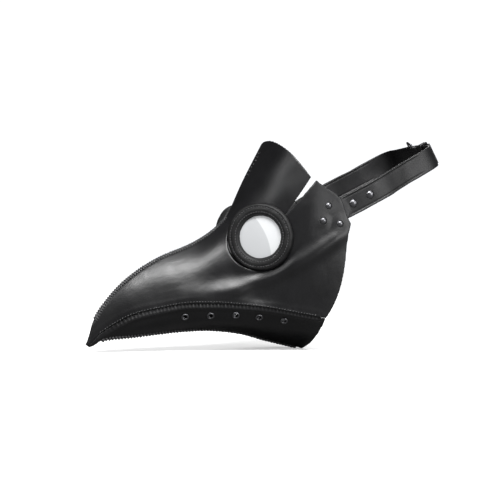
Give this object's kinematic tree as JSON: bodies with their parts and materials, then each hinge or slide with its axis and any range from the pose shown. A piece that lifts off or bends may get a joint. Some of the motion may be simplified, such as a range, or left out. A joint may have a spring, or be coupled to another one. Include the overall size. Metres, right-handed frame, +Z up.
{
  "type": "plague doctor mask",
  "caption": "Stitched leather beak mask with round glazed eyes, air-hole eyelets and a riveted, buckled head strap.",
  "frame": {"origin": "on the plane of symmetry, at eye-centre height, level with the rear corner of the cheek", "axes": "+Z up, the beak points along -Y, +X toward the wearer's left"},
  "size_m": [0.1594, 0.4251, 0.2505],
  "materials": {
    "panel_leather": "satin",
    "ring_leather": "matte",
    "strap_leather": "satin",
    "lens": "gloss",
    "gunmetal": "satin",
    "thread": "matte"
  },
  "bodies": {
    "mask": {"bottom_thread": "thread", "brow_panel": "panel_leather", "brow_thread": "thread", "left_cheek_rivet_caps": "gunmetal", "left_cheek_rivets": "gunmetal", "left_eye_ring": "ring_leather", "left_eyelet_washers": "gunmetal", "left_eyelets": "gunmetal", "left_jaw_thread": "thread", "left_lens": "lens", "left_lens_retainer": "gunmetal", "left_lower_panel": "panel_leather", "left_ring_inner_thread": "thread", "left_ring_outer_thread": "thread", "left_strap_anchor": "strap_leather", "left_upper_panel": "panel_leather", "ridge_thread": "thread", "right_cheek_rivet_caps": "gunmetal", "right_cheek_rivets": "gunmetal", "right_eye_ring": "ring_leather", "right_eyelet_washers": "gunmetal", "right_eyelets": "gunmetal", "right_jaw_thread": "thread", "right_lens": "lens", "right_lens_retainer": "gunmetal", "right_lower_panel": "panel_leather", "right_ring_inner_thread": "thread", "right_ring_outer_thread": "thread", "right_strap_anchor": "strap_leather", "right_upper_panel": "panel_leather"},
    "harness": {"buckle_fold_rivet": "gunmetal", "left_strap": "strap_leather", "left_strap_lining": "strap_leather", "left_strap_rivet_caps": "gunmetal", "left_strap_rivets": "gunmetal", "right_strap": "strap_leather", "right_strap_lining": "strap_leather", "right_strap_rivet_caps": "gunmetal", "right_strap_rivets": "gunmetal"},
    "buckle": {"buckle_frame": "gunmetal"},
    "prong": {"buckle_prong": "gunmetal"},
    "keeper": {"keeper_loop": "strap_leather"}
  },
  "joints": [
    {"name": "harness_tilt", "type": "hinge", "parent": "mask", "child": "harness", "pos_m": [0, -0.014, 0.029], "axis": [1, 0, 0], "range_deg": [-10, 10]},
    {"name": "buckle_swing", "type": "hinge", "parent": "harness", "child": "buckle", "pos_m": [0.01, 0.11491, 0.09754], "axis": [0, 0.4695, -0.8829], "range_deg": [0, 25]},
    {"name": "prong_swing", "type": "hinge", "parent": "buckle", "child": "prong", "pos_m": [0.01, 0.11491, 0.09754], "axis": [0, 0.4695, -0.8829], "range_deg": [0, 50]},
    {"name": "keeper_slide", "type": "slide", "parent": "harness", "child": "keeper", "axis": [1, 0, 0], "range_m": [-0.005, 0.005]}
  ]
}
